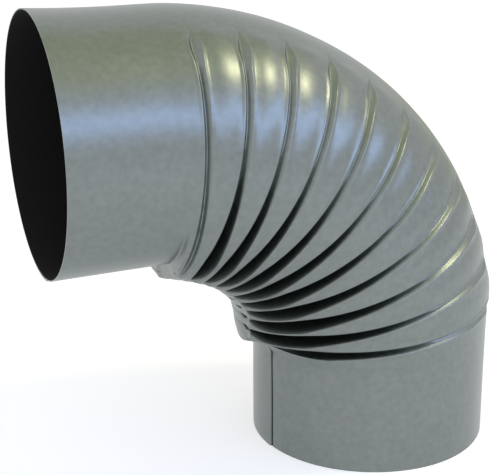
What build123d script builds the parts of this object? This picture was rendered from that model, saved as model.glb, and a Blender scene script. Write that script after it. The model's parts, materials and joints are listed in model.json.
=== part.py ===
"""Corrugated aluminium flue bend: one rolled sheet, folded on its throat side so that the pipe turns.

The frame stands on the lower rim. Its origin is the centre of that rim, +Z runs up the lower collar,
and the bend turns towards -X. The heel is the long outer side of the bend and the throat the short one.
"""

import os
from math import acos, atan, cos, degrees, radians, sin

from build123d import *

os.makedirs("parts", exist_ok=True)

# Driving dimensions, in millimetres and degrees
OUTER_DIAMETER = 150.0  # over the plain collars
SHEET = 0.7  # thickness of the aluminium sheet
BEND_ANGLE = 90.0
BEND_RADIUS = 142.0  # of the centre line
LOWER_COLLAR = 66.0  # plain length, from the lower rim to the bend
UPPER_COLLAR = 62.0  # plain length, from the upper rim to the bend
LOWER_RUN_OUT = 2.0  # straight wall between the lower collar and the start of the turn
UPPER_RUN_OUT = 9.0  # straight wall between the end of the turn and the upper collar

# The folds: each is a low step at the heel and a groove between two lips towards the throat
FOLDS = 11
HEEL_FIRST = 5.8  # bend angle of the lowest fold at the heel
HEEL_LAST = 87.0  # bend angle of the topmost fold at the heel
THROAT_FIRST = 7.2  # bend angle of the lowest fold at the throat
THROAT_LAST = 89.0  # bend angle of the topmost fold at the throat
HEEL_STEP = 0.6  # how far a fold's upper lip stands out at the heel
RIDGE_WIDTH = 2.0  # width of that step
RIDGE_END = 78.0  # angle from the heel line at which the step turns into a groove
GROOVE_START = 0.4  # depth with which a groove begins there
GROOVE_SHARE = 0.75  # width of a groove at the throat, as a share of the folds' spacing on the collar's circle
TOPMOST_SHARE = 0.35  # the same for the topmost groove, which is only half formed
CREST_RISE = 9.0  # how far the crests stand out of the collar's circle at the throat
TOPMOST_RISE = 7.0  # the same for the topmost crest
COLLAR_LIP_RISE = 1.0  # of the lip where the lower collar meets the lowest groove
GROOVE_DROP = 0.0  # how far a groove cuts into the collar's circle at the throat
TOPMOST_DROP = -3.0  # the same for the topmost groove, which stays outside that circle
FOLD_TIP = 2.0  # thickness of the doubled sheet at the bottom of a groove

# The strip along the throat, where the folds are pressed flat and the sheet's two edges lap
WIDE_END = 50.0  # angle from the throat line at which the grooves are widest
STRIP_ANGLE = 44.0  # angle that the strip takes up
STRIP_FRONT_FIRST = 11.0  # angle from the throat line to the strip's front edge at the lowest fold
STRIP_FRONT_LAST = 32.0  # the same at the topmost fold: the strip runs a little askew
LAP_EDGE = 10.0  # angle from the throat line to the outer edge of the lap on the collars
LAP_SPREAD = 55.0  # angle over which the lapped sheet comes down to the collar's circle

radius = OUTER_DIAMETER / 2
bore_radius = radius - SHEET
turn_height = LOWER_COLLAR + LOWER_RUN_OUT
bend_centre = Vector(-BEND_RADIUS, 0, turn_height)
heel_reach = BEND_RADIUS + radius
throat_reach = BEND_RADIUS - radius
last_fold = FOLDS - 1
throat_spacing = radians(THROAT_LAST - THROAT_FIRST) / last_fold * throat_reach


def between(first, last, fold):
    """A value for one fold, going evenly from the lowest fold to the topmost."""
    return first + (last - first) * fold / last_fold


def turn_point(angle, reach, along=0.0):
    """A point of the mid plane at a bend angle and a reach from the bend centre, moved along the duct."""
    outward = Vector(cos(radians(angle)), 0, sin(radians(angle)))
    onward = Vector(-sin(radians(angle)), 0, cos(radians(angle)))
    return bend_centre + outward * reach + onward * along


def ring_point(heel, throat, angle):
    """The point of a ring at an angle from its heel. The ring's diameter runs from heel to throat."""
    spoke = (heel - throat) / 2
    sideways = Vector(0, spoke.length * sin(radians(angle)), 0)
    return (heel + throat) / 2 + spoke * cos(radians(angle)) + sideways


def ring_arc(heel, throat, start, end):
    """The arc of a ring between two angles from its heel."""
    stops = [ring_point(heel, throat, angle) for angle in (start, (start + end) / 2, end)]
    return Edge.make_three_point_arc(*stops)


def front_edge(fold):
    """The angle from the throat line to the strip's front edge, at -Y."""
    return between(STRIP_FRONT_FIRST, STRIP_FRONT_LAST, fold)


def back_edge(fold):
    """The angle from the throat line to the strip's back edge, at +Y."""
    return STRIP_ANGLE - front_edge(fold)


def crest_rise(fold):
    """How far the crests beside a fold stand out at the throat."""
    return TOPMOST_RISE if fold == last_fold else CREST_RISE


def groove_drop(fold):
    """How far a fold's groove cuts in at the throat."""
    return TOPMOST_DROP if fold == last_fold else GROOVE_DROP


def heel_angle(fold):
    """The bend angle of a fold at the heel."""
    return between(HEEL_FIRST, HEEL_LAST, fold)


def throat_angle(fold):
    """The bend angle of a fold at the throat."""
    return between(THROAT_FIRST, THROAT_LAST, fold)


def end_line(heel, throat, fold):
    """The six arcs of a round end of the folded wall, cut at the angles of the fold beside it."""
    wide = 180 - WIDE_END
    back = 180 - back_edge(fold)
    front = 180 + front_edge(fold)
    stops = [-RIDGE_END, RIDGE_END, wide, back, front, 360 - wide, 360 - RIDGE_END]
    return [ring_arc(heel, throat, start, end) for start, end in zip(stops, stops[1:])]


def lip_points(fold, side, depth):
    """The heel and throat points of one lip of a fold. The upper lip stands a step higher at the heel."""
    full = crest_rise(fold) + groove_drop(fold)
    share = TOPMOST_SHARE if fold == last_fold else GROOVE_SHARE
    groove_half = share * throat_spacing / 2
    flank = atan(groove_half / full)
    lip_half = groove_half * (1 - depth / full) + depth / cos(flank)
    ridge_half = RIDGE_WIDTH / 2 + depth / 2
    step = HEEL_STEP if side > 0 else 0
    rise = COLLAR_LIP_RISE if fold == 0 and side < 0 else crest_rise(fold)
    heel = turn_point(heel_angle(fold), heel_reach + step - depth, side * ridge_half)
    throat = turn_point(throat_angle(fold), throat_reach - rise + depth, side * lip_half)
    return heel, throat


def lip_line(fold, side, depth):
    """One lip of a fold, a sheet's depth into the wall: arcs down both sides, closed towards the strip."""
    heel, throat = lip_points(fold, side, depth)
    rise = COLLAR_LIP_RISE if fold == 0 and side < 0 else crest_rise(fold)
    trim = degrees(1.4 * depth / radius)
    wide = 180 - WIDE_END + trim
    back = 180 - back_edge(fold) + trim
    front = 180 + front_edge(fold) - trim
    strip_along = 0
    if fold == 0:
        strip_along = depth - 1.5 * SHEET if side < 0 else depth
    strip_heel = turn_point(heel_angle(fold), heel_reach - depth)
    strip_throat = turn_point(throat_angle(fold), throat_reach - rise + depth, strip_along)
    strip = ring_arc(strip_heel, strip_throat, back, front)
    back_main = ring_arc(heel, throat, RIDGE_END, wide)
    front_main = ring_arc(heel, throat, 360 - wide, 360 - RIDGE_END)
    return [
        ring_arc(heel, throat, -RIDGE_END, RIDGE_END),
        back_main,
        Edge.make_line(back_main @ 1, strip @ 0),
        strip,
        Edge.make_line(strip @ 1, front_main @ 0),
        front_main,
    ]


def bottom_line(fold, depth, lower, upper):
    """The bottoms of a fold's two grooves: arcs that start between the lips and deepen to the throat."""
    back_start = (lower[0] @ 1 + upper[0] @ 1) / 2
    front_start = (lower[0] @ 0 + upper[0] @ 0) / 2
    tip = FOLD_TIP if depth else 0
    throat = turn_point(throat_angle(fold), throat_reach + groove_drop(fold) + tip)
    foot = (back_start + front_start) / 2
    inward = (throat - foot).normalized() * GROOVE_START
    foot += inward
    reach = (foot - throat).length
    half_width = (back_start - front_start).length / 2 - GROOVE_START
    size = (reach**2 + half_width**2) / (2 * reach)
    heel = throat + (foot - throat).normalized() * 2 * size
    start = 180 - degrees(acos(1 - reach / size))
    wide = 180 - WIDE_END + degrees(1.4 * depth / radius)
    return [ring_arc(heel, throat, start, wide), ring_arc(heel, throat, 360 - wide, 360 - start)]


def strips_between(first, second):
    """The ruled faces between the edges of two lines that lie one after the other along the duct."""
    return [Face.make_surface_from_curves(one, other) for one, other in zip(first, second)]


def corner_face(*corners):
    """A flat three-cornered face."""
    return Face(Wire.make_polygon(corners, close=True))


def band_faces(lower, upper):
    """The faces of the band between two folds: arcs, flat corners beside the strip and the strip itself."""
    arcs = (0, 1, 3, 5)
    faces = strips_between([lower[side] for side in arcs], [upper[side] for side in arcs])
    faces.append(corner_face(lower[1] @ 1, upper[3] @ 0, lower[3] @ 0))
    faces.append(corner_face(lower[5] @ 0, upper[3] @ 1, lower[3] @ 1))
    faces.append(corner_face(lower[1] @ 1, upper[1] @ 1, upper[3] @ 0))
    faces.append(corner_face(lower[5] @ 0, upper[5] @ 0, upper[3] @ 1))
    return faces


def fold_faces(fold, depth, lower, upper):
    """The faces of one fold between its two lips, with the starts and ends of its grooves."""
    back, front = bottom_line(fold, depth, lower, upper)
    faces = strips_between([lower[0], lower[1], lower[5], back, front], [upper[0], back, front, upper[1], upper[5]])
    faces.append(corner_face(lower[0] @ 1, back @ 0, upper[0] @ 1))
    faces.append(corner_face(lower[0] @ 0, front @ 1, upper[0] @ 0))
    faces.append(corner_face(lower[1] @ 1, back @ 1, lower[3] @ 0))
    faces.append(corner_face(upper[1] @ 1, back @ 1, upper[3] @ 0))
    faces.append(corner_face(lower[5] @ 0, front @ 0, lower[3] @ 1))
    faces.append(corner_face(upper[5] @ 0, front @ 0, upper[3] @ 1))
    if fold == 0:
        faces.append(corner_face(lower[3] @ 0, back @ 1, upper[3] @ 0))
        faces.append(corner_face(lower[3] @ 1, front @ 0, upper[3] @ 1))
        faces += strips_between([lower[3]], [upper[3]])
    return faces


def skin_faces(depth):
    """The faces of one side of the folded wall, and the lines at its two ends."""
    first = end_line(
        turn_point(0, heel_reach - depth, -LOWER_RUN_OUT),
        turn_point(0, throat_reach + depth, -LOWER_RUN_OUT),
        0,
    )
    last = end_line(
        turn_point(BEND_ANGLE, heel_reach - depth, UPPER_RUN_OUT),
        turn_point(BEND_ANGLE, throat_reach + depth, UPPER_RUN_OUT),
        last_fold,
    )
    lips = [(lip_line(fold, -1, depth), lip_line(fold, 1, depth)) for fold in range(FOLDS)]
    faces = strips_between(first, lips[0][0]) + strips_between(lips[-1][1], last)
    for fold, (lower, upper) in enumerate(lips):
        faces += fold_faces(fold, depth, lower, upper)
    for (_, below), (above, _) in zip(lips, lips[1:]):
        faces += band_faces(below, above)
    return faces, first, last


# The folded wall: an outside and an inside skin, joined by a flat ring at each end
outside, outside_first, outside_last = skin_faces(0)
inside, inside_first, inside_last = skin_faces(SHEET)
rings = [
    Face(Wire(outside_first), [Wire(inside_first)]),
    Face(Wire(outside_last), [Wire(inside_last)]),
]
folded_wall = Solid(Shell(outside + inside + rings))

# The collar's sheet: a ring whose outside steps up where one end of the sheet laps the other
lap_start = 180 + LAP_EDGE
with BuildSketch() as collar_section:
    with BuildLine():
        plain = CenterArc((0, 0), radius, lap_start, 360 - LAP_SPREAD)
        edge = PolarLine(plain @ 0, SHEET, lap_start)
        half_way = Vector(radius + SHEET / 2, 0).rotate(Axis.Z, lap_start - LAP_SPREAD / 2)
        ThreePointArc(plain @ 1, half_way, edge @ 1)
    make_face()
    Circle(bore_radius, mode=Mode.SUBTRACT)

upper_end = Plane(
    origin=turn_point(BEND_ANGLE, BEND_RADIUS, UPPER_RUN_OUT),
    x_dir=(0, 0, 1),
    z_dir=(-1, 0, 0),
)

with BuildPart() as flue_bend:
    add(folded_wall)
    with BuildSketch(Plane.XY):
        add(collar_section.sketch)
    extrude(amount=LOWER_COLLAR)
    with BuildSketch(upper_end):
        add(collar_section.sketch)
    extrude(amount=UPPER_COLLAR)

flue_bend.part.label = "flue_bend"
export_step(flue_bend.part, "parts/flue_bend.step")
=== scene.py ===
"""Corrugated aluminium flue bend: the dressed model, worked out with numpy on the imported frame."""

# %% [markdown]
# A flue bend turns a stove pipe through a right angle. It is one aluminium sheet: rolled to a tube, lapped
# along a seam, and pleated so that one side becomes shorter than the other. The imported CAD model is loaded
# first, because it fixes where everything is. The box that it fills is kept, and the lamps face its middle.

# %% Load the frame
import json

import bpy
import numpy as np
from mathutils import Matrix, Vector


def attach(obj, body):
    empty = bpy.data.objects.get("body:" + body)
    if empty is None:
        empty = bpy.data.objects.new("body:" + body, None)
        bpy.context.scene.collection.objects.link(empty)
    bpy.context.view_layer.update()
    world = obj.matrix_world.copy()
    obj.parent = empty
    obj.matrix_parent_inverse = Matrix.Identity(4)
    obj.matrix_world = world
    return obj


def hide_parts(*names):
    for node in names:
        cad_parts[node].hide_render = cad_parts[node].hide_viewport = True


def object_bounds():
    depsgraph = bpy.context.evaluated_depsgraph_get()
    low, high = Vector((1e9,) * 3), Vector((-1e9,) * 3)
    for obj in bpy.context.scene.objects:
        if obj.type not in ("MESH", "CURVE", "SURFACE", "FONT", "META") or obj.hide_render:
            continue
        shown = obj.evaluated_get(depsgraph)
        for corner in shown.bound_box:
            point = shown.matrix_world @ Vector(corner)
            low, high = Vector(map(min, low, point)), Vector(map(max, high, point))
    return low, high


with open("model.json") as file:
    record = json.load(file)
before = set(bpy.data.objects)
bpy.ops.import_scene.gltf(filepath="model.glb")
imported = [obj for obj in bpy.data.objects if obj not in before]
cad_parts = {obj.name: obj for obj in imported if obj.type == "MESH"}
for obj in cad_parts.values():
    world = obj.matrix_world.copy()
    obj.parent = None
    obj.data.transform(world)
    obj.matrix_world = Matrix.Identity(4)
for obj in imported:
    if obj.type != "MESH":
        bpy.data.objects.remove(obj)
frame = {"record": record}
cad_low, cad_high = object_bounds()
print("CAD box in mm", [round(v * 1000) for v in cad_low], [round(v * 1000) for v in cad_high])

# %% [markdown]
# The collars' sizes and places are read from the mounts in the record, so that they can't drift from the CAD
# model. What the record doesn't hold, such as the radius of the bend and the spacing of the pleats, is given
# here in millimetres and degrees, as in the part's own source.

# %% Sizes of the bend
MM = 0.001
mounts = {mount["name"]: mount for mount in frame["record"]["mounts"]}
lower_mouth = mounts["lower_mouth"]
upper_mouth = mounts["upper_mouth"]
SHEET = 0.7 * MM
RADIUS = lower_mouth["dims"]["r_mm"] * MM + SHEET
LOWER_COLLAR = lower_mouth["dims"]["length_mm"] * MM
UPPER_COLLAR = upper_mouth["dims"]["length_mm"] * MM
UPPER_RIM_X = upper_mouth["pos_m"][0]
UPPER_AXIS_Z = upper_mouth["pos_m"][2]
BEND_RADIUS = 142 * MM
TURN_HEIGHT = UPPER_AXIS_Z - BEND_RADIUS
HEEL_REACH = BEND_RADIUS + RADIUS
THROAT_REACH = BEND_RADIUS - RADIUS
FOLDS = 11
LAST = FOLDS - 1
print("collar radius", RADIUS / MM, "mm, turn height", TURN_HEIGHT / MM, "mm")

# %% [markdown]
# A ring is a closed line across the duct, through one heel point and one throat point. Its place along the
# bend is a number called q: 0 at the lowest fold, 1 at the next, and so on, with the bands between them. The
# angle phi goes round the ring, from 0 at the heel to half a turn at the throat. Towards the throat the folds
# stand out of the collar's circle, most of all on the strip where the pleats are pressed flat, and the heel
# bulges or sinks a little. A circle swept along an arc would have none of this, so the rise is a function of
# q and phi.

# %% Rise of the folds
CREST_RISE = 9.0 * MM
SIDE_POWER, END_POWER = 1.4, 4.0
END_FADE = (-0.5, 1.5)
STRIP_POWER = 8.0
STRIP_FOLDS = [0.0, 2.5, 5.0, 7.5, 9.0, 10.5]
STRIP_RISES = np.array([4.5, 2.0, 3.6, 5.0, 4.4, 2.0]) * MM
HEEL_POWER = 4.0
HEEL_FOLDS = [-0.3, 0.0, 3.0, 5.0, 7.0, 9.0, 10.5]
HEEL_RISES = np.array([1.5, 2.6, 2.2, 1.0, -0.6, -0.7, 0.0]) * MM


def smooth_step(low, high, value):
    """0 below low, 1 above high, and 3t^2 - 2t^3 between them."""
    t = np.clip((value - low) / (high - low), 0, 1)
    return t * t * (3 - 2 * t)


def towards_throat(phi):
    """0 at the heel, 1 at the throat, and (1 - cos phi) / 2 between them."""
    return (1 - np.cos(phi)) / 2


def rise(q, phi):
    """How far a ring stands out of the collar's circle: the sum of a crest, a strip and a heel term.

    With s = towards_throat(phi), they are crest rise * s^power, strip rise * s^8 and heel rise * (1 - s)^4.
    The power is larger for the end folds, which leave the collars smooth at the sides.
    """
    s = towards_throat(phi)
    past_first = smooth_step(*END_FADE, q)
    before_last = smooth_step(*END_FADE, LAST - q)
    power = END_POWER - (END_POWER - SIDE_POWER) * past_first * before_last
    at_strip = np.interp(q, STRIP_FOLDS, STRIP_RISES) * s**STRIP_POWER
    at_heel = np.interp(q, HEEL_FOLDS, HEEL_RISES) * (1 - s) ** HEEL_POWER
    return CREST_RISE * s**power + at_strip + at_heel


print("rise at the throat in mm", [round(rise(fold, np.pi) / MM, 1) for fold in range(FOLDS)])

# %% [markdown]
# The rings follow each other like the spokes of a fan, but heel and throat each have their own bend angle for
# the same q. So each ring is laid through its own heel and throat points, where a Spin would turn both by the
# same angle.

# %% Rings of the bend
HEEL_FIRST, HEEL_LAST = np.radians(5.8), np.radians(87.0)
THROAT_FIRST, THROAT_LAST = np.radians(7.2), np.radians(89.0)


def turn_point(angle, reach):
    """x and z at a bend angle and a reach: bend centre plus reach times (cos angle, sin angle)."""
    return -BEND_RADIUS + reach * np.cos(angle), TURN_HEIGHT + reach * np.sin(angle)


def ring_points(q, phi, depth):
    """Points of the rings q at the angles phi: centre plus (radius + rise - depth) times the spoke at phi.

    The centre is half way between the heel and throat points, and the radius half their distance.
    """
    part = q / LAST
    heel_x, heel_z = turn_point(HEEL_FIRST + (HEEL_LAST - HEEL_FIRST) * part, HEEL_REACH)
    throat_x, throat_z = turn_point(THROAT_FIRST + (THROAT_LAST - THROAT_FIRST) * part, THROAT_REACH)
    half_x = (heel_x - throat_x) / 2
    half_z = (heel_z - throat_z) / 2
    radius = np.hypot(half_x, half_z)
    grown = 1 + (rise(q, phi) - depth) / radius
    x = (heel_x + throat_x) / 2 + np.cos(phi) * half_x * grown
    y = np.sin(phi) * radius * grown
    z = (heel_z + throat_z) / 2 + np.cos(phi) * half_z * grown
    return np.stack([x, y, z], axis=-1)


middle_ring = ring_points(LAST / 2, np.array([0, np.pi]), 0.0)
print("heel and throat of the middle ring in mm", np.round(middle_ring / MM).tolist())

# %% [markdown]
# The columns of the grid are angles round the duct. With even steps, the points where the grooves end would
# need a very fine grid, so the columns are crowded towards the throat instead. A few more lie close together
# at the lap's gap, so that the step there stays sharp.

# %% Angles round the duct
COLUMNS = 160
CROWDING = 0.4
LAP_EDGE = np.radians(190)
LAP_GAP = np.radians(1.2)
# Where the columns at the gap lie, as shares of its width.
GAP_COLUMNS = np.array([-0.05, 0.05, 0.5, 0.95, 1.05])
even = np.arange(COLUMNS) * 2 * np.pi / COLUMNS
crowded = even + CROWDING * np.sin(even)
near_lap = np.abs(crowded - LAP_EDGE) < 2 * LAP_GAP
phi = np.sort(np.append(crowded[~near_lap], LAP_EDGE + LAP_GAP * GAP_COLUMNS))
from_throat = np.abs(phi - np.pi)
from_heel = np.pi - from_throat
print(len(phi), "columns round the duct")

# %% [markdown]
# A smooth strip runs along the throat, where the pleats were pressed flat. It lies a little askew, so its
# edges move round the duct from fold to fold. Every groove closes to a point at the strip's edge. The taper
# is a function of phi, which a Boolean cut with a wedge could copy only with many small faces.

# %% Strip along the throat
WIDE_AT = np.radians(42)
STRIP_ANGLE = np.radians(44)
STRIP_FRONT_FIRST, STRIP_FRONT_LAST = np.radians(8), np.radians(24)
LEAST_TAPER = np.radians(20)


def strip_edge(fold):
    """The angle from the throat line to the strip's edge, at every phi.

    At the front it goes in even steps from the first fold's to the last's. At the back it is the rest of the
    strip's whole angle.
    """
    front = STRIP_FRONT_FIRST + (STRIP_FRONT_LAST - STRIP_FRONT_FIRST) * (fold / LAST)
    return np.where(phi > np.pi, front, STRIP_ANGLE - front)


def closing(fold):
    """1 where the groove is open, falling to 0 at the strip's edge along a quarter of an ellipse."""
    edge = strip_edge(fold)
    t = np.clip((from_throat - edge) / np.maximum(WIDE_AT - edge, LEAST_TAPER), 0, 1)
    return np.sqrt(1 - (1 - t) ** 2)


strip_width = np.degrees(strip_edge(0).min() + strip_edge(0).max())
print("strip", round(strip_width), "degrees wide")

# %% [markdown]
# A pleat starts near the heel as a narrow channel, with a wider notch at its tip. Down the side it opens into
# a groove, which is widest and deepest a little before the throat. Near the strip's front edge each pleat
# leaves a small pit. Sculpting could give all this too, but eleven pleats would then be eleven pieces of hand
# work, so the half width and the depth are functions of phi that all pleats share.

# %% Width and depth of a pleat
SIDE_START = np.radians(80)
CHANNEL_START, CHANNEL_FULL = np.radians(25), np.radians(42)
CHANNEL_WIDTH = 2.8 * MM
CHANNEL_DEPTH = 1.2 * MM
NOTCH_WIDTH = 4.5 * MM
NOTCH_AT, NOTCH_SPREAD = np.radians(34), np.radians(9)
GROOVE_WIDTH = 7.2 * MM
GROOVE_DEPTH = 15.0 * MM
WIDTH_POWER, DEPTH_POWER = 2, 1.6
FINEST = 0.35 * MM
PIT_WIDTH = 1.5 * MM
PIT_DEPTH = 5.0 * MM
PIT_LINE, PIT_SPREAD = np.radians(186), np.radians(2.8)


def bell(value, middle, spread):
    """A bell curve: e to the power of -((value - middle) / spread)^2."""
    return np.exp(-(((value - middle) / spread) ** 2))


opening = np.clip((from_heel - SIDE_START) / (np.pi - WIDE_AT - SIDE_START), 0, 1)
started = smooth_step(CHANNEL_START, CHANNEL_FULL, from_heel)
channel_width = CHANNEL_WIDTH + NOTCH_WIDTH * bell(from_heel, NOTCH_AT, NOTCH_SPREAD)
pit = bell(phi, PIT_LINE, PIT_SPREAD)


def half_width(fold):
    """Half the groove's width at every phi: the channel's, growing along the side, and closed at the strip.

    The topmost fold is only half formed, so it keeps the channel's width and depth.
    """
    growth = 0 if fold == LAST else (GROOVE_WIDTH - CHANNEL_WIDTH) * opening**WIDTH_POWER
    return FINEST + PIT_WIDTH * pit + (channel_width + growth) / 2 * started * closing(fold)


def groove_depth(fold):
    """The groove's depth at every phi: the channel's and its growth, closed at the strip, plus the pit's."""
    growth = 0 if fold == LAST else (GROOVE_DEPTH - CHANNEL_DEPTH) * opening**DEPTH_POWER
    return PIT_DEPTH * pit + (CHANNEL_DEPTH + growth) * started * closing(fold)


widest = 2 * half_width(LAST // 2).max()
deepest = groove_depth(LAST // 2).max()
print("widest groove", round(widest / MM, 1), "mm, deepest", round(deepest / MM, 1), "mm")

# %% [markdown]
# The rows of the grid follow the pleats, so that each lip lies along a row and stays crisp, where a plain
# grid would need to be far finer. A row is a number across the pleat: from -1 to 1 it crosses the groove,
# from lip to lip, and out to -2 and 2 it reaches the middle of the bands. Under the strip's lower end the
# lowest fold sags towards the collar.

# %% Rows of the pleats
GROOVE_ROWS = np.linspace(-1, 1, 11)
BAND_ROWS = np.array([0.04, 0.09, 0.16, 0.28, 0.55])
END_BAND_ROWS = 4
STRIP_DROP = 0.6
DROP_AT, DROP_SPREAD = np.radians(176), np.radians(14)


def fold_rows(fold):
    """The rows of one fold, from one band to the middle of the next, as a column.

    Beyond the outer lips of the first and the last fold only a few rows are left, and the collars follow.
    """
    lower = -1 - BAND_ROWS[::-1]
    upper = np.append(1 + BAND_ROWS, 2.0)
    if fold == LAST:
        upper = upper[:END_BAND_ROWS]
    if fold == 0:
        lower = lower[-END_BAND_ROWS:]
    return np.concatenate([lower, GROOVE_ROWS, upper])[:, None]


def pitch(fold):
    """The distance at every phi between this fold and its neighbours, measured on the crest rings."""
    above = ring_points(fold + 0.5, phi, 0.0)
    below = ring_points(fold - 0.5, phi, 0.0)
    return np.linalg.norm(above - below, axis=-1)


def fold_places(fold):
    """The ring q of every row and phi, and its distance from the groove's middle.

    q = fold + half width * row / pitch inside the groove; outside, q runs on evenly to the band's middle.
    The lowest fold's q is less by a bell curve of phi, which fades out towards the next band's middle.
    """
    row = fold_rows(fold)
    inner = np.clip(np.abs(row), 0, 1)
    outer = np.clip(np.abs(row) - 1, 0, 1)
    spacing = pitch(fold)
    lip = half_width(fold) / spacing
    offset = inner * lip + outer * (0.5 - lip)
    q = fold + np.sign(row) * offset
    if fold == 0:
        q = q - STRIP_DROP * np.clip(1 - row / 2, 0, 1) * bell(phi, DROP_AT, DROP_SPREAD)
    return q, offset * spacing


pleat_rows = np.concatenate([fold_rows(fold) for fold in range(FOLDS)])
print(len(pleat_rows), "rows across", FOLDS, "pleats")

# %% [markdown]
# The cross-section of a groove is mixed from a cosine, which rounds it, and a plain V, which keeps the bottom
# crisp. It leans: at the sides the bottom is nearer to the upper lip, and near the throat to the lower one.
# Both lips have a thin bead, and the bands swell between them like a cushion. A Bevel modifier would round
# every lip alike, so beads and cushions are added to the surface itself, and fade out at the strip.

# %% Cross-section of a pleat
ROUNDING = 0.8
SIDE_SKEW, THROAT_SKEW = -0.3, 0.35
SKEW_START, SKEW_FULL = np.radians(90), np.radians(130)
LOWER_BEAD, UPPER_BEAD = 1.2 * MM, 1.0 * MM
BEAD_WIDTH = 1.2 * MM
BAND_CROWN = 1.6 * MM
SWELL_START, SWELL_FULL = np.radians(23), np.radians(33)
skew = SIDE_SKEW + (THROAT_SKEW - SIDE_SKEW) * smooth_step(SKEW_START, SKEW_FULL, from_heel)
swollen = smooth_step(SWELL_START, SWELL_FULL, from_heel)


def groove_section(row):
    """1 at the groove's bottom and 0 at its lips: rounding * (1 + cos pi u) / 2 + (1 - rounding) * (1 - u).

    Here u = |row + skew * (1 - row^2)|, so the skew moves the bottom and leaves the lips in place.
    """
    within = np.clip(row, -1, 1)
    u = np.abs(within + skew * (1 - within**2))
    return ROUNDING * (0.5 + 0.5 * np.cos(np.pi * u)) + (1 - ROUNDING) * (1 - u)


def swelling(row, from_lip):
    """How far lips and bands stand out: bead * bell of the distance from the lip + crown * (2v - v^2).

    Here v goes from 0 at the lip to 1 at the band's middle.
    """
    v = np.clip(np.abs(row) - 1, 0, 1)
    bead = bell(from_lip, BEAD_WIDTH / 2, BEAD_WIDTH) * np.where(row < 0, LOWER_BEAD, UPPER_BEAD)
    return bead * started + BAND_CROWN * (v * (2 - v)) * swollen


print("section half way to the lip", np.round(groove_section(np.array([[-0.5], [0.5]]))[:, 0], 2))

# %% [markdown]
# Now the pleats can be laid on the rings. On the strip each pleat leaves only a shallow scallop. Below the
# lowest groove the sheet comes back to the collar, but for a small lip. A Displace modifier could press
# grooves into a plain tube, but it can't move the rows along the bend to where the lips are.

# %% Surface of the pleats
COLLAR_LIP_RISE = 1.0 * MM
SCALLOP_DEPTH, SCALLOP_WIDTH = 0.8 * MM, 1.2 * MM
STRIP_FULL, STRIP_OUT = 0.85, 1.1


def fold_surface(fold, lift=1.0):
    """Points of one fold: the rings q, less depth times section, plus the swelling, less the strip's scallop.

    A lift of 0 lays the rings on the collar's circle, without their rise.
    """
    row = fold_rows(fold)
    q, across = fold_places(fold)
    section = groove_section(row)
    depth = groove_depth(fold) * section
    if fold == 0:
        above_lip = rise(q, phi) - COLLAR_LIP_RISE * towards_throat(phi)
        depth = depth + np.where(row < 0, above_lip * (1 - section), 0)
    edge = strip_edge(fold)
    on_strip = 1 - smooth_step(edge * STRIP_FULL, edge * STRIP_OUT, from_throat)
    scallop = SCALLOP_DEPTH * on_strip * bell(across, 0, SCALLOP_WIDTH)
    depth = depth - swelling(row, across - half_width(fold)) * (1 - on_strip)
    depth = depth + scallop + (1 - lift) * rise(q, phi)
    return ring_points(q, phi, depth)


pleats = np.concatenate([fold_surface(fold) for fold in range(FOLDS)])
print("pleats", pleats.shape[:2])

# %% [markdown]
# The plain collars are tubes. Each has the lap of the seam on it: one end of the sheet lies on the other, so
# the outside steps down by one sheet at the lap's edge, with a fine dark gap beside it. Rolled sheet is never
# quite round. A cylinder from the Add menu would look turned from bar, so a few slow waves are added to the
# radius, and the upper collar is slightly oval.

# %% Lap and waves of the collars
LAP_SPREAD = np.radians(55)
GAP_DEPTH = 0.6 * SHEET
GAP_MIDDLE, GAP_SPREAD = 0.5, 0.3
WAVE = 0.25 * MM
# Waves in one turn, radians per metre along the duct, and the angle that each starts from.
WAVES = [(3, 31, 0.6), (5, -47, 2.1), (2, 23, 4.0)]


def lap_height():
    """Extra radius at every phi: one sheet at the lap's edge, falling evenly to nothing over its spread.

    The gap beside the edge is a bell curve, taken off it.
    """
    behind = (LAP_EDGE - phi) / LAP_SPREAD
    lap = np.where((behind > 0) & (behind < 1), SHEET * (1 - behind), 0)
    return lap - GAP_DEPTH * bell((phi - LAP_EDGE) / LAP_GAP, GAP_MIDDLE, GAP_SPREAD)


def slow_waves(along):
    """The mean of the sines of turns * phi + rate * way along + start, times the height of a wave."""
    sines = [np.sin(turns * phi + rate * along + start) for turns, rate, start in WAVES]
    return WAVE / len(WAVES) * sum(sines)


print("lap", round(lap_height().max() / MM, 2), "mm high, gap", round(-lap_height().min() / MM, 2), "mm deep")

# %% [markdown]
# Each collar is a stack of rings. The lower one stands upright on its rim, and the upper one lies level. At
# the top the upper one's oval grows towards its rim, and underneath most of it is there all along. A scaled
# cylinder would be oval from end to end, so the oval is a function of phi and of the way along.

# %% Surface of the collars
COLLAR_ROWS = 10
RIM_OVAL = 2.4 * MM
UNDER_OVAL, UNDER_GROWTH = 0.7, 0.3
UPPER_WAVE_START = 0.3
UPPER_END_X = UPPER_RIM_X + UPPER_COLLAR


def lower_ring(height, radius):
    """The lower collar's ring: (radius cos phi, radius sin phi, height)."""
    return np.stack(np.broadcast_arrays(radius * np.cos(phi), radius * np.sin(phi), height), axis=-1)


def upper_ring(x, radius):
    """The upper collar's ring: (x, radius sin phi, axis height + radius cos phi)."""
    z = UPPER_AXIS_Z + radius * np.cos(phi)
    return np.stack(np.broadcast_arrays(x, radius * np.sin(phi), z), axis=-1)


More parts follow.
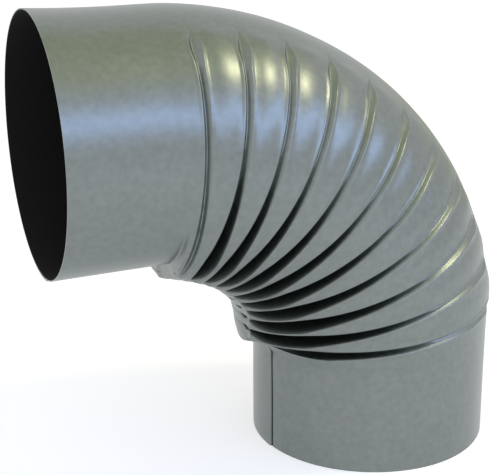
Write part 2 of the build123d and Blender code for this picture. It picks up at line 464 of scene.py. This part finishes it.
along = np.linspace(0, 1, COLLAR_ROWS)[:, None]
heights = along * LOWER_COLLAR
lower_waves = slow_waves(heights)
lower_collar = lower_ring(heights, RADIUS + lap_height() + lower_waves)
oval_top = np.clip(np.cos(phi), 0, 1) ** 2 * along**2
oval_under = np.clip(-np.cos(phi), 0, 1) ** 2 * (UNDER_OVAL + UNDER_GROWTH * along)
oval = RIM_OVAL * (oval_top + oval_under)
upper_x = UPPER_END_X - along * UPPER_COLLAR
upper_waves = slow_waves(UPPER_WAVE_START + along * UPPER_COLLAR)
upper_collar = upper_ring(upper_x, RADIUS + lap_height() + upper_waves + oval)
print("collars", lower_collar.shape[:2], upper_collar.shape[:2])

# %% [markdown]
# Two run-outs join the collars to the pleats. The lower one is straight. The upper one brings the sheet down
# from the topmost fold to the collar's circle: along a smooth curve at the sides, and under the throat in a
# small step, where the strip ends, with a crack along its edge. Bridging two loops of edges would give
# straight lines only, so the height along the upper run-out is a function too.

# %% Run-outs between collars and pleats
LOWER_ROWS, TOP_ROWS = 5, 22
# Lengths are shares of the way to the collar, and the depth is a share of the fold's height.
STRIP_END, STEP_LENGTH = 0.15, 0.22
STEP_START, STEP_FULL = np.radians(112), np.radians(130)
CRACK_DEPTH, CRACK_LENGTH = 0.5, 0.04
CRACK_START, CRACK_FULL = np.radians(145), np.radians(155)


def between(rows):
    """Even steps from 0 to 1 without the two ends, shaped to multiply a ring of points."""
    return np.linspace(0, 1, rows + 2)[1:-1, None, None]


lower_run_out = lower_collar[-1] + (pleats[0] - lower_collar[-1]) * between(LOWER_ROWS)
flat_top = fold_surface(LAST, lift=0.0)[-1]
t = between(TOP_ROWS)
side_lift = (1 - t) ** 2
strip_lift = 1 - smooth_step(STRIP_END, STRIP_END + STEP_LENGTH, t)
stepped = smooth_step(STEP_START, STEP_FULL, from_heel)[:, None]
cracked = smooth_step(CRACK_START, CRACK_FULL, from_heel)[:, None]
crack = CRACK_DEPTH * bell(t, STRIP_END, CRACK_LENGTH) * cracked
top_lift = side_lift + (strip_lift - side_lift) * stepped - crack
top_run_out = flat_top + (upper_collar[0] - flat_top) * t + (pleats[-1] - flat_top) * top_lift
outside = np.concatenate([lower_collar, lower_run_out, pleats, top_run_out, upper_collar])
print("outside", outside.shape[:2])

# %% [markdown]
# The inside is the same sheet, seen from the duct. Every outside point moves inwards by the sheet's
# thickness, along the surface's own normal, which numpy finds from the differences between neighbouring rows
# and columns. A Solidify modifier does the same, but would carry the lap's step through to the inside of the
# collars, which are plain there.

# %% Inside of the sheet
SHORTEST = 1e-12


def normals(grid):
    """Unit normals of a grid that closes on itself round the duct: cross product of its two differences.

    A product of no length is divided by the shortest length that is allowed, and not by 0.
    """
    up_the_duct = np.gradient(grid, axis=0)
    around = np.roll(grid, -1, axis=1) - np.roll(grid, 1, axis=1)
    normal = np.cross(around, up_the_duct)
    return normal / np.maximum(np.linalg.norm(normal, axis=-1, keepdims=True), SHORTEST)


inside = outside - SHEET * normals(outside)
inside[:COLLAR_ROWS] = lower_ring(heights, RADIUS - SHEET + lower_waves)
inside[-COLLAR_ROWS:] = upper_ring(upper_x, RADIUS - SHEET + upper_waves + oval)
print("sheet", SHEET / MM, "mm thick")

# %% [markdown]
# Outside and inside are joined at both rims into one closed surface: rows go up the outside and back down the
# inside, and the last row joins the first. One mesh can hold several materials, so the duct's inside isn't a
# piece of its own: its faces get the second material, which is painted near-black shade. So do the lap's gap
# on the lower collar and the small pits along the strip, as painted shade in these narrow hollows.

# %% Mesh of the sheet
SHARP_ANGLE = np.radians(50)
# The lap's gap and the pits get the inside's painted shade, for the shadow in these narrow hollows.
DARK_GAP = 0.9 * LAP_GAP
DARK_PIT = np.radians(1.8)
DARK_PIT_ROWS = 0.9


def add_object(name, data):
    """An object made from a mesh, a lamp or a camera, linked to the scene."""
    made = bpy.data.objects.new(name, data)
    bpy.context.scene.collection.objects.link(made)
    return made


def closed_mesh(name, grid, dark):
    """A mesh from a grid whose rows and columns both close: one quad for each point and its next neighbours.

    Dark is a grid of the same size: quads where it is true get the second material.
    """
    rows, columns = grid.shape[:2]
    index = np.arange(rows * columns).reshape(rows, columns)
    after = np.roll(index, -1, axis=0)
    quads = np.stack([index, np.roll(index, -1, axis=1), np.roll(after, -1, axis=1), after], axis=-1)
    mesh = bpy.data.meshes.new(name)
    mesh.from_pydata(grid.reshape(-1, 3), [], quads.reshape(-1, 4))
    mesh.polygons.foreach_set("material_index", dark.astype(np.int32).ravel())
    mesh.polygons.foreach_set("use_smooth", np.ones(rows * columns, dtype=bool))
    mesh.update()
    return mesh


shell = np.concatenate([outside, inside[::-1]])
dark = np.zeros(shell.shape[:2], dtype=bool)
dark[len(outside):] = True
# Painted shade in the lap's gap on the lower collar.
dark[:COLLAR_ROWS] |= (phi > LAP_EDGE) & (phi < LAP_EDGE + DARK_GAP)
first_pleat = COLLAR_ROWS + LOWER_ROWS
# Painted shade in the small pits along the strip.
in_pit = (np.abs(pleat_rows) < DARK_PIT_ROWS) & (np.abs(phi - PIT_LINE) < DARK_PIT)
dark[first_pleat:first_pleat + len(pleat_rows)] |= in_pit
sheet_mesh = closed_mesh("pleated_sheet", shell, dark)
sheet_mesh.set_sharp_from_angle(angle=SHARP_ANGLE)
pleated_sheet = add_object("pleated_sheet", sheet_mesh)
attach(pleated_sheet, "root")
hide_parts("flue_bend")
print(2 * len(sheet_mesh.polygons), "triangles in the sheet")

# %% [markdown]
# Three small helpers make the materials. One turns a hex colour, as a paint chart gives it, into the linear
# numbers that Blender's sockets hold. One adds a node with its settings and links, which keeps a material's
# code as short as its node tree. One starts a material and hands back its tree and its main shader.

# %% Helpers for materials


def linear(hex_colour):
    """Linear RGBA of an sRGB hex colour: c / 12.92 in the dark, ((c + 0.055) / 1.055)^2.4 elsewhere."""
    srgb = [int(hex_colour[i:i + 2], 16) / 255 for i in (1, 3, 5)]
    return [c / 12.92 if c <= 0.04045 else ((c + 0.055) / 1.055) ** 2.4 for c in srgb] + [1.0]


def add_node(tree, kind, settings=None, links=None):
    """Adds a node, sets its properties or input values by name, and links inputs to given output sockets.

    A Math node's inputs share one name, so they are linked by number.
    """
    node = tree.nodes.new(kind)
    for key, value in (settings or {}).items():
        if key in node.inputs:
            node.inputs[key].default_value = value
        else:
            setattr(node, key, value)
    for key, socket in (links or {}).items():
        tree.links.new(socket, node.inputs[key])
    return node


def new_material(name):
    """A material with nodes, its node tree, and the Principled shader that the tree starts with."""
    material = bpy.data.materials.new(name)
    material.use_nodes = True
    return material, material.node_tree, material.node_tree.nodes["Principled BSDF"]


print("middle grey as linear numbers", np.round(linear("#808080"), 3))

# %% [markdown]
# Mill-finished aluminium is rolled sheet that was never polished. The rolls leave it dull, with cloudy
# patches of a few millimetres, and a soft, wide reflection. A photographed texture would bring its own light
# with it, so two noise patterns are used: clouds, which vary both colour and roughness, and a fine grain. The
# real grain is too fine to show, so it is drawn as coarse as it needs to.

# %% Mill-finished aluminium
CLOUD_SIZE = 4 * MM
GRAIN_SIZE = 1.1 * MM
GRAIN_HEIGHT = 0.2 * MM
DULL_PATCH, DULL_AT = "#7a807e", 0.3
BRIGHT_PATCH, BRIGHT_AT = "#838986", 0.7
SMOOTHEST, ROUGHEST = 0.31, 0.37


def mill_aluminium():
    """Rolled aluminium sheet: metallic grey, cloudy in colour and roughness, with a faint grain."""
    material, tree, shader = new_material("mill_finished_aluminium")
    on_sheet = {"Vector": add_node(tree, "ShaderNodeTexCoord").outputs["Object"]}
    clouds = add_node(tree, "ShaderNodeTexNoise", {"Scale": 1 / CLOUD_SIZE, "Detail": 4.0}, on_sheet)
    grain = add_node(tree, "ShaderNodeTexNoise", {"Scale": 1 / GRAIN_SIZE, "Detail": 2.0}, on_sheet)
    colours = add_node(tree, "ShaderNodeValToRGB", links={"Fac": clouds.outputs["Fac"]})
    dull, bright = colours.color_ramp.elements
    dull.position = DULL_AT
    dull.color = linear(DULL_PATCH)
    bright.position = BRIGHT_AT
    bright.color = linear(BRIGHT_PATCH)
    roughness = {"To Min": SMOOTHEST, "To Max": ROUGHEST}
    rough = add_node(tree, "ShaderNodeMapRange", roughness, {"Value": clouds.outputs["Fac"]})
    relief = {"Strength": 0.12, "Distance": GRAIN_HEIGHT}
    bump = add_node(tree, "ShaderNodeBump", relief, {"Height": grain.outputs["Fac"]})
    shader.inputs["Metallic"].default_value = 1.0
    tree.links.new(colours.outputs["Color"], shader.inputs["Base Color"])
    tree.links.new(rough.outputs["Result"], shader.inputs["Roughness"])
    tree.links.new(bump.outputs["Normal"], shader.inputs["Normal"])
    return material


sheet_mesh.materials.append(mill_aluminium())
print("first material", sheet_mesh.materials[0].name)

# %% [markdown]
# The inside of the duct shows almost black in its mouth, because it sees little light. The outside's metal
# would mirror the white background in there, so the inside gets painted shade: a near-black, rougher version.

# %% Painted shade inside the duct
# Near-black colours of painted shade, for the inside, which sees little light.
DARKEST, LESS_DARK = "#060606", "#121211"


def painted_shade_inside():
    """The duct's inside: the same sheet, painted near-black as shade, so that hardly any light comes back."""
    material, tree, shader = new_material("inside_painted_shade")
    on_sheet = {"Vector": add_node(tree, "ShaderNodeTexCoord").outputs["Object"]}
    clouds = add_node(tree, "ShaderNodeTexNoise", {"Scale": 1 / CLOUD_SIZE, "Detail": 3.0}, on_sheet)
    colours = add_node(tree, "ShaderNodeValToRGB", links={"Fac": clouds.outputs["Fac"]})
    darkest, less_dark = colours.color_ramp.elements
    darkest.color = linear(DARKEST)
    less_dark.color = linear(LESS_DARK)
    shader.inputs["Metallic"].default_value = 0.4
    shader.inputs["Roughness"].default_value = 0.7
    tree.links.new(colours.outputs["Color"], shader.inputs["Base Color"])
    return material


sheet_mesh.materials.append(painted_shade_inside())
print("second material", sheet_mesh.materials[1].name)

# %% [markdown]
# The photograph has a plain white background. The world is white for rays from the camera and for what metal
# or glass shows of it, and a plain grey for all other light. Brighter lamps could make a background white
# too, but they would flood the object.

# %% World
WORLD_LIGHT = 0.5


def studio_world(light):
    """White where it is seen or mirrored, and a soft grey of the given strength as light."""
    world = bpy.data.worlds.new("studio")
    world.use_nodes = True
    tree = world.node_tree
    background = tree.nodes["Background"]
    rays = add_node(tree, "ShaderNodeLightPath").outputs
    either = {"operation": "MAXIMUM"}
    in_metal_or_glass = {0: rays["Is Glossy Ray"], 1: rays["Is Transmission Ray"]}
    mirrored = add_node(tree, "ShaderNodeMath", either, in_metal_or_glass)
    in_sight = {0: rays["Is Camera Ray"], 1: mirrored.outputs[0]}
    seen = add_node(tree, "ShaderNodeMath", either, in_sight)
    levels = {"To Min": light, "To Max": 1.0}
    strength = add_node(tree, "ShaderNodeMapRange", levels, {"Value": seen.outputs[0]})
    tree.links.new(strength.outputs["Result"], background.inputs["Strength"])
    background.inputs["Color"].default_value = (1, 1, 1, 1)
    return world


bpy.context.scene.world = studio_world(WORLD_LIGHT)
bpy.context.scene.view_settings.view_transform = "Standard"
print("world", bpy.context.scene.world.name)

# %% [markdown]
# The floor is pale and matt, and catches the bend's shadow. A shadow catcher would do this on its own, but
# would not be mirrored in the metal. So it is a painted floor, which glows a little where it is seen or
# mirrored and so passes into the white of the world without an edge.

# %% Floor
FLOOR_REACH = 3.0
FLOOR_GLOW = 0.55


def flat_board(name, corners, material):
    """An object with one flat face through four corners in metres."""
    mesh = bpy.data.meshes.new(name)
    mesh.from_pydata(corners, [], [(0, 1, 2, 3)])
    mesh.materials.append(material)
    return add_object(name, mesh)


def pale_floor():
    """A square floor at height 0, from -reach to reach both ways, whose own colour is nearly white."""
    corners = np.array([[-1, -1, 0], [1, -1, 0], [1, 1, 0], [-1, 1, 0]]) * FLOOR_REACH
    material, tree, shader = new_material("pale_floor_paint")
    shader.inputs["Base Color"].default_value = linear("#f2f2f2")
    shader.inputs["Roughness"].default_value = 0.9
    rays = add_node(tree, "ShaderNodeLightPath").outputs
    in_sight = {0: rays["Is Camera Ray"], 1: rays["Is Glossy Ray"]}
    seen = add_node(tree, "ShaderNodeMath", {"operation": "MAXIMUM"}, in_sight)
    glow = add_node(tree, "ShaderNodeMath", {"operation": "MULTIPLY"}, {0: seen.outputs[0]})
    glow.inputs[1].default_value = FLOOR_GLOW
    shader.inputs["Emission Color"].default_value = (1, 1, 1, 1)
    tree.links.new(glow.outputs[0], shader.inputs["Emission Strength"])
    return flat_board("floor", corners, material)


pale_floor()
print("floor", 2 * FLOOR_REACH, "m wide")

# %% [markdown]
# Metal shows the room that it stands in. A photographed panorama would do for that, but two plain boards are
# enough here: a ceiling that gives the upper side its olive tint, and a low wall behind the bend. Camera
# rays, diffuse light and shadows pass them by, so they are there for reflections only.

# %% Mirrored boards
CEILING = [(-0.4, -0.8, 1.5), (1.1, -0.8, 1.5), (1.1, 0.7, 1.5), (-0.4, 0.7, 1.5)]
BACK_WALL = [(0.1, 0.6, 0.0), (1.8, 0.6, 0.0), (1.8, 0.6, 0.28), (0.1, 0.6, 0.28)]


def mirrored_board(name, corners, colour, strength):
    """A glowing board through four corners in metres, out of the picture, to be mirrored in the metal."""
    material, _, shader = new_material(name + "_paint")
    shader.inputs["Base Color"].default_value = linear("#8c8c78")
    shader.inputs["Emission Color"].default_value = linear(colour)
    shader.inputs["Emission Strength"].default_value = strength
    board = flat_board(name, corners, material)
    board.visible_camera = False
    board.visible_diffuse = False
    board.visible_shadow = False
    return board


mirrored_board("ceiling", CEILING, "#e8efcf", 0.82)
mirrored_board("back_wall", BACK_WALL, "#d9dbc8", 0.75)

# %% [markdown]
# The light comes from the front right, above the bend: a wide, blue window, which gives the long streaks on
# collar and bands, and a small warm lamp, which gives the bright spots. Each is an area lamp that faces the
# middle of the bend, because a point lamp would give hard glints on such metal.

# %% Lamps
MIDDLE = (cad_low + cad_high) / 2


def area_lamp(name, place, width, height, watts, colour):
    """A rectangular lamp at a place in metres, turned to face the middle of the object."""
    data = bpy.data.lights.new(name, "AREA")
    data.shape = "RECTANGLE"
    data.size = width
    data.size_y = height
    data.energy = watts
    data.color = linear(colour)[:3]
    lamp = add_object(name, data)
    lamp.location = place
    lamp.rotation_euler = (MIDDLE - Vector(place)).to_track_quat("-Z", "Y").to_euler()
    return lamp


area_lamp("window", place=(0.6, -1.2, 0.92), width=2.2, height=0.42, watts=8, colour="#9bbcff")
area_lamp("lamp", place=(0.74, -0.36, 1.34), width=0.22, height=0.22, watts=3.4, colour="#fff3c8")

# %% [markdown]
# The camera was worked out from the photograph's outlines: the two rims and the sides of the collars. It
# looks at the bend from the front and a little above. A level camera that looks along +y has the rows of
# LEVEL as its right, down and ahead. The turn is about one axis, whose length is the angle in radians.

# %% Camera
PHOTO_WIDTH = 494
FOCAL_PIXELS = 1379.2
CAMERA_PLACE = Vector((-372.92, -745.03, 416.23)) * MM
CAMERA_TURN = Vector((0.3295, -0.0696, 0.3674))
LEVEL = Matrix(((1, 0, 0), (0, 0, -1), (0, 1, 0)))
turn = Matrix.Rotation(CAMERA_TURN.length, 3, CAMERA_TURN.normalized())
right, down, ahead = (LEVEL @ turn).row
camera_data = bpy.data.cameras.new("camera")
camera_data.lens = FOCAL_PIXELS * camera_data.sensor_width / PHOTO_WIDTH
camera = add_object("camera", camera_data)
aim = Matrix((right, -down, -ahead)).transposed().to_4x4()
camera.matrix_world = Matrix.Translation(CAMERA_PLACE) @ aim
bpy.context.scene.camera = camera
print("lens", round(camera_data.lens, 1), "mm")
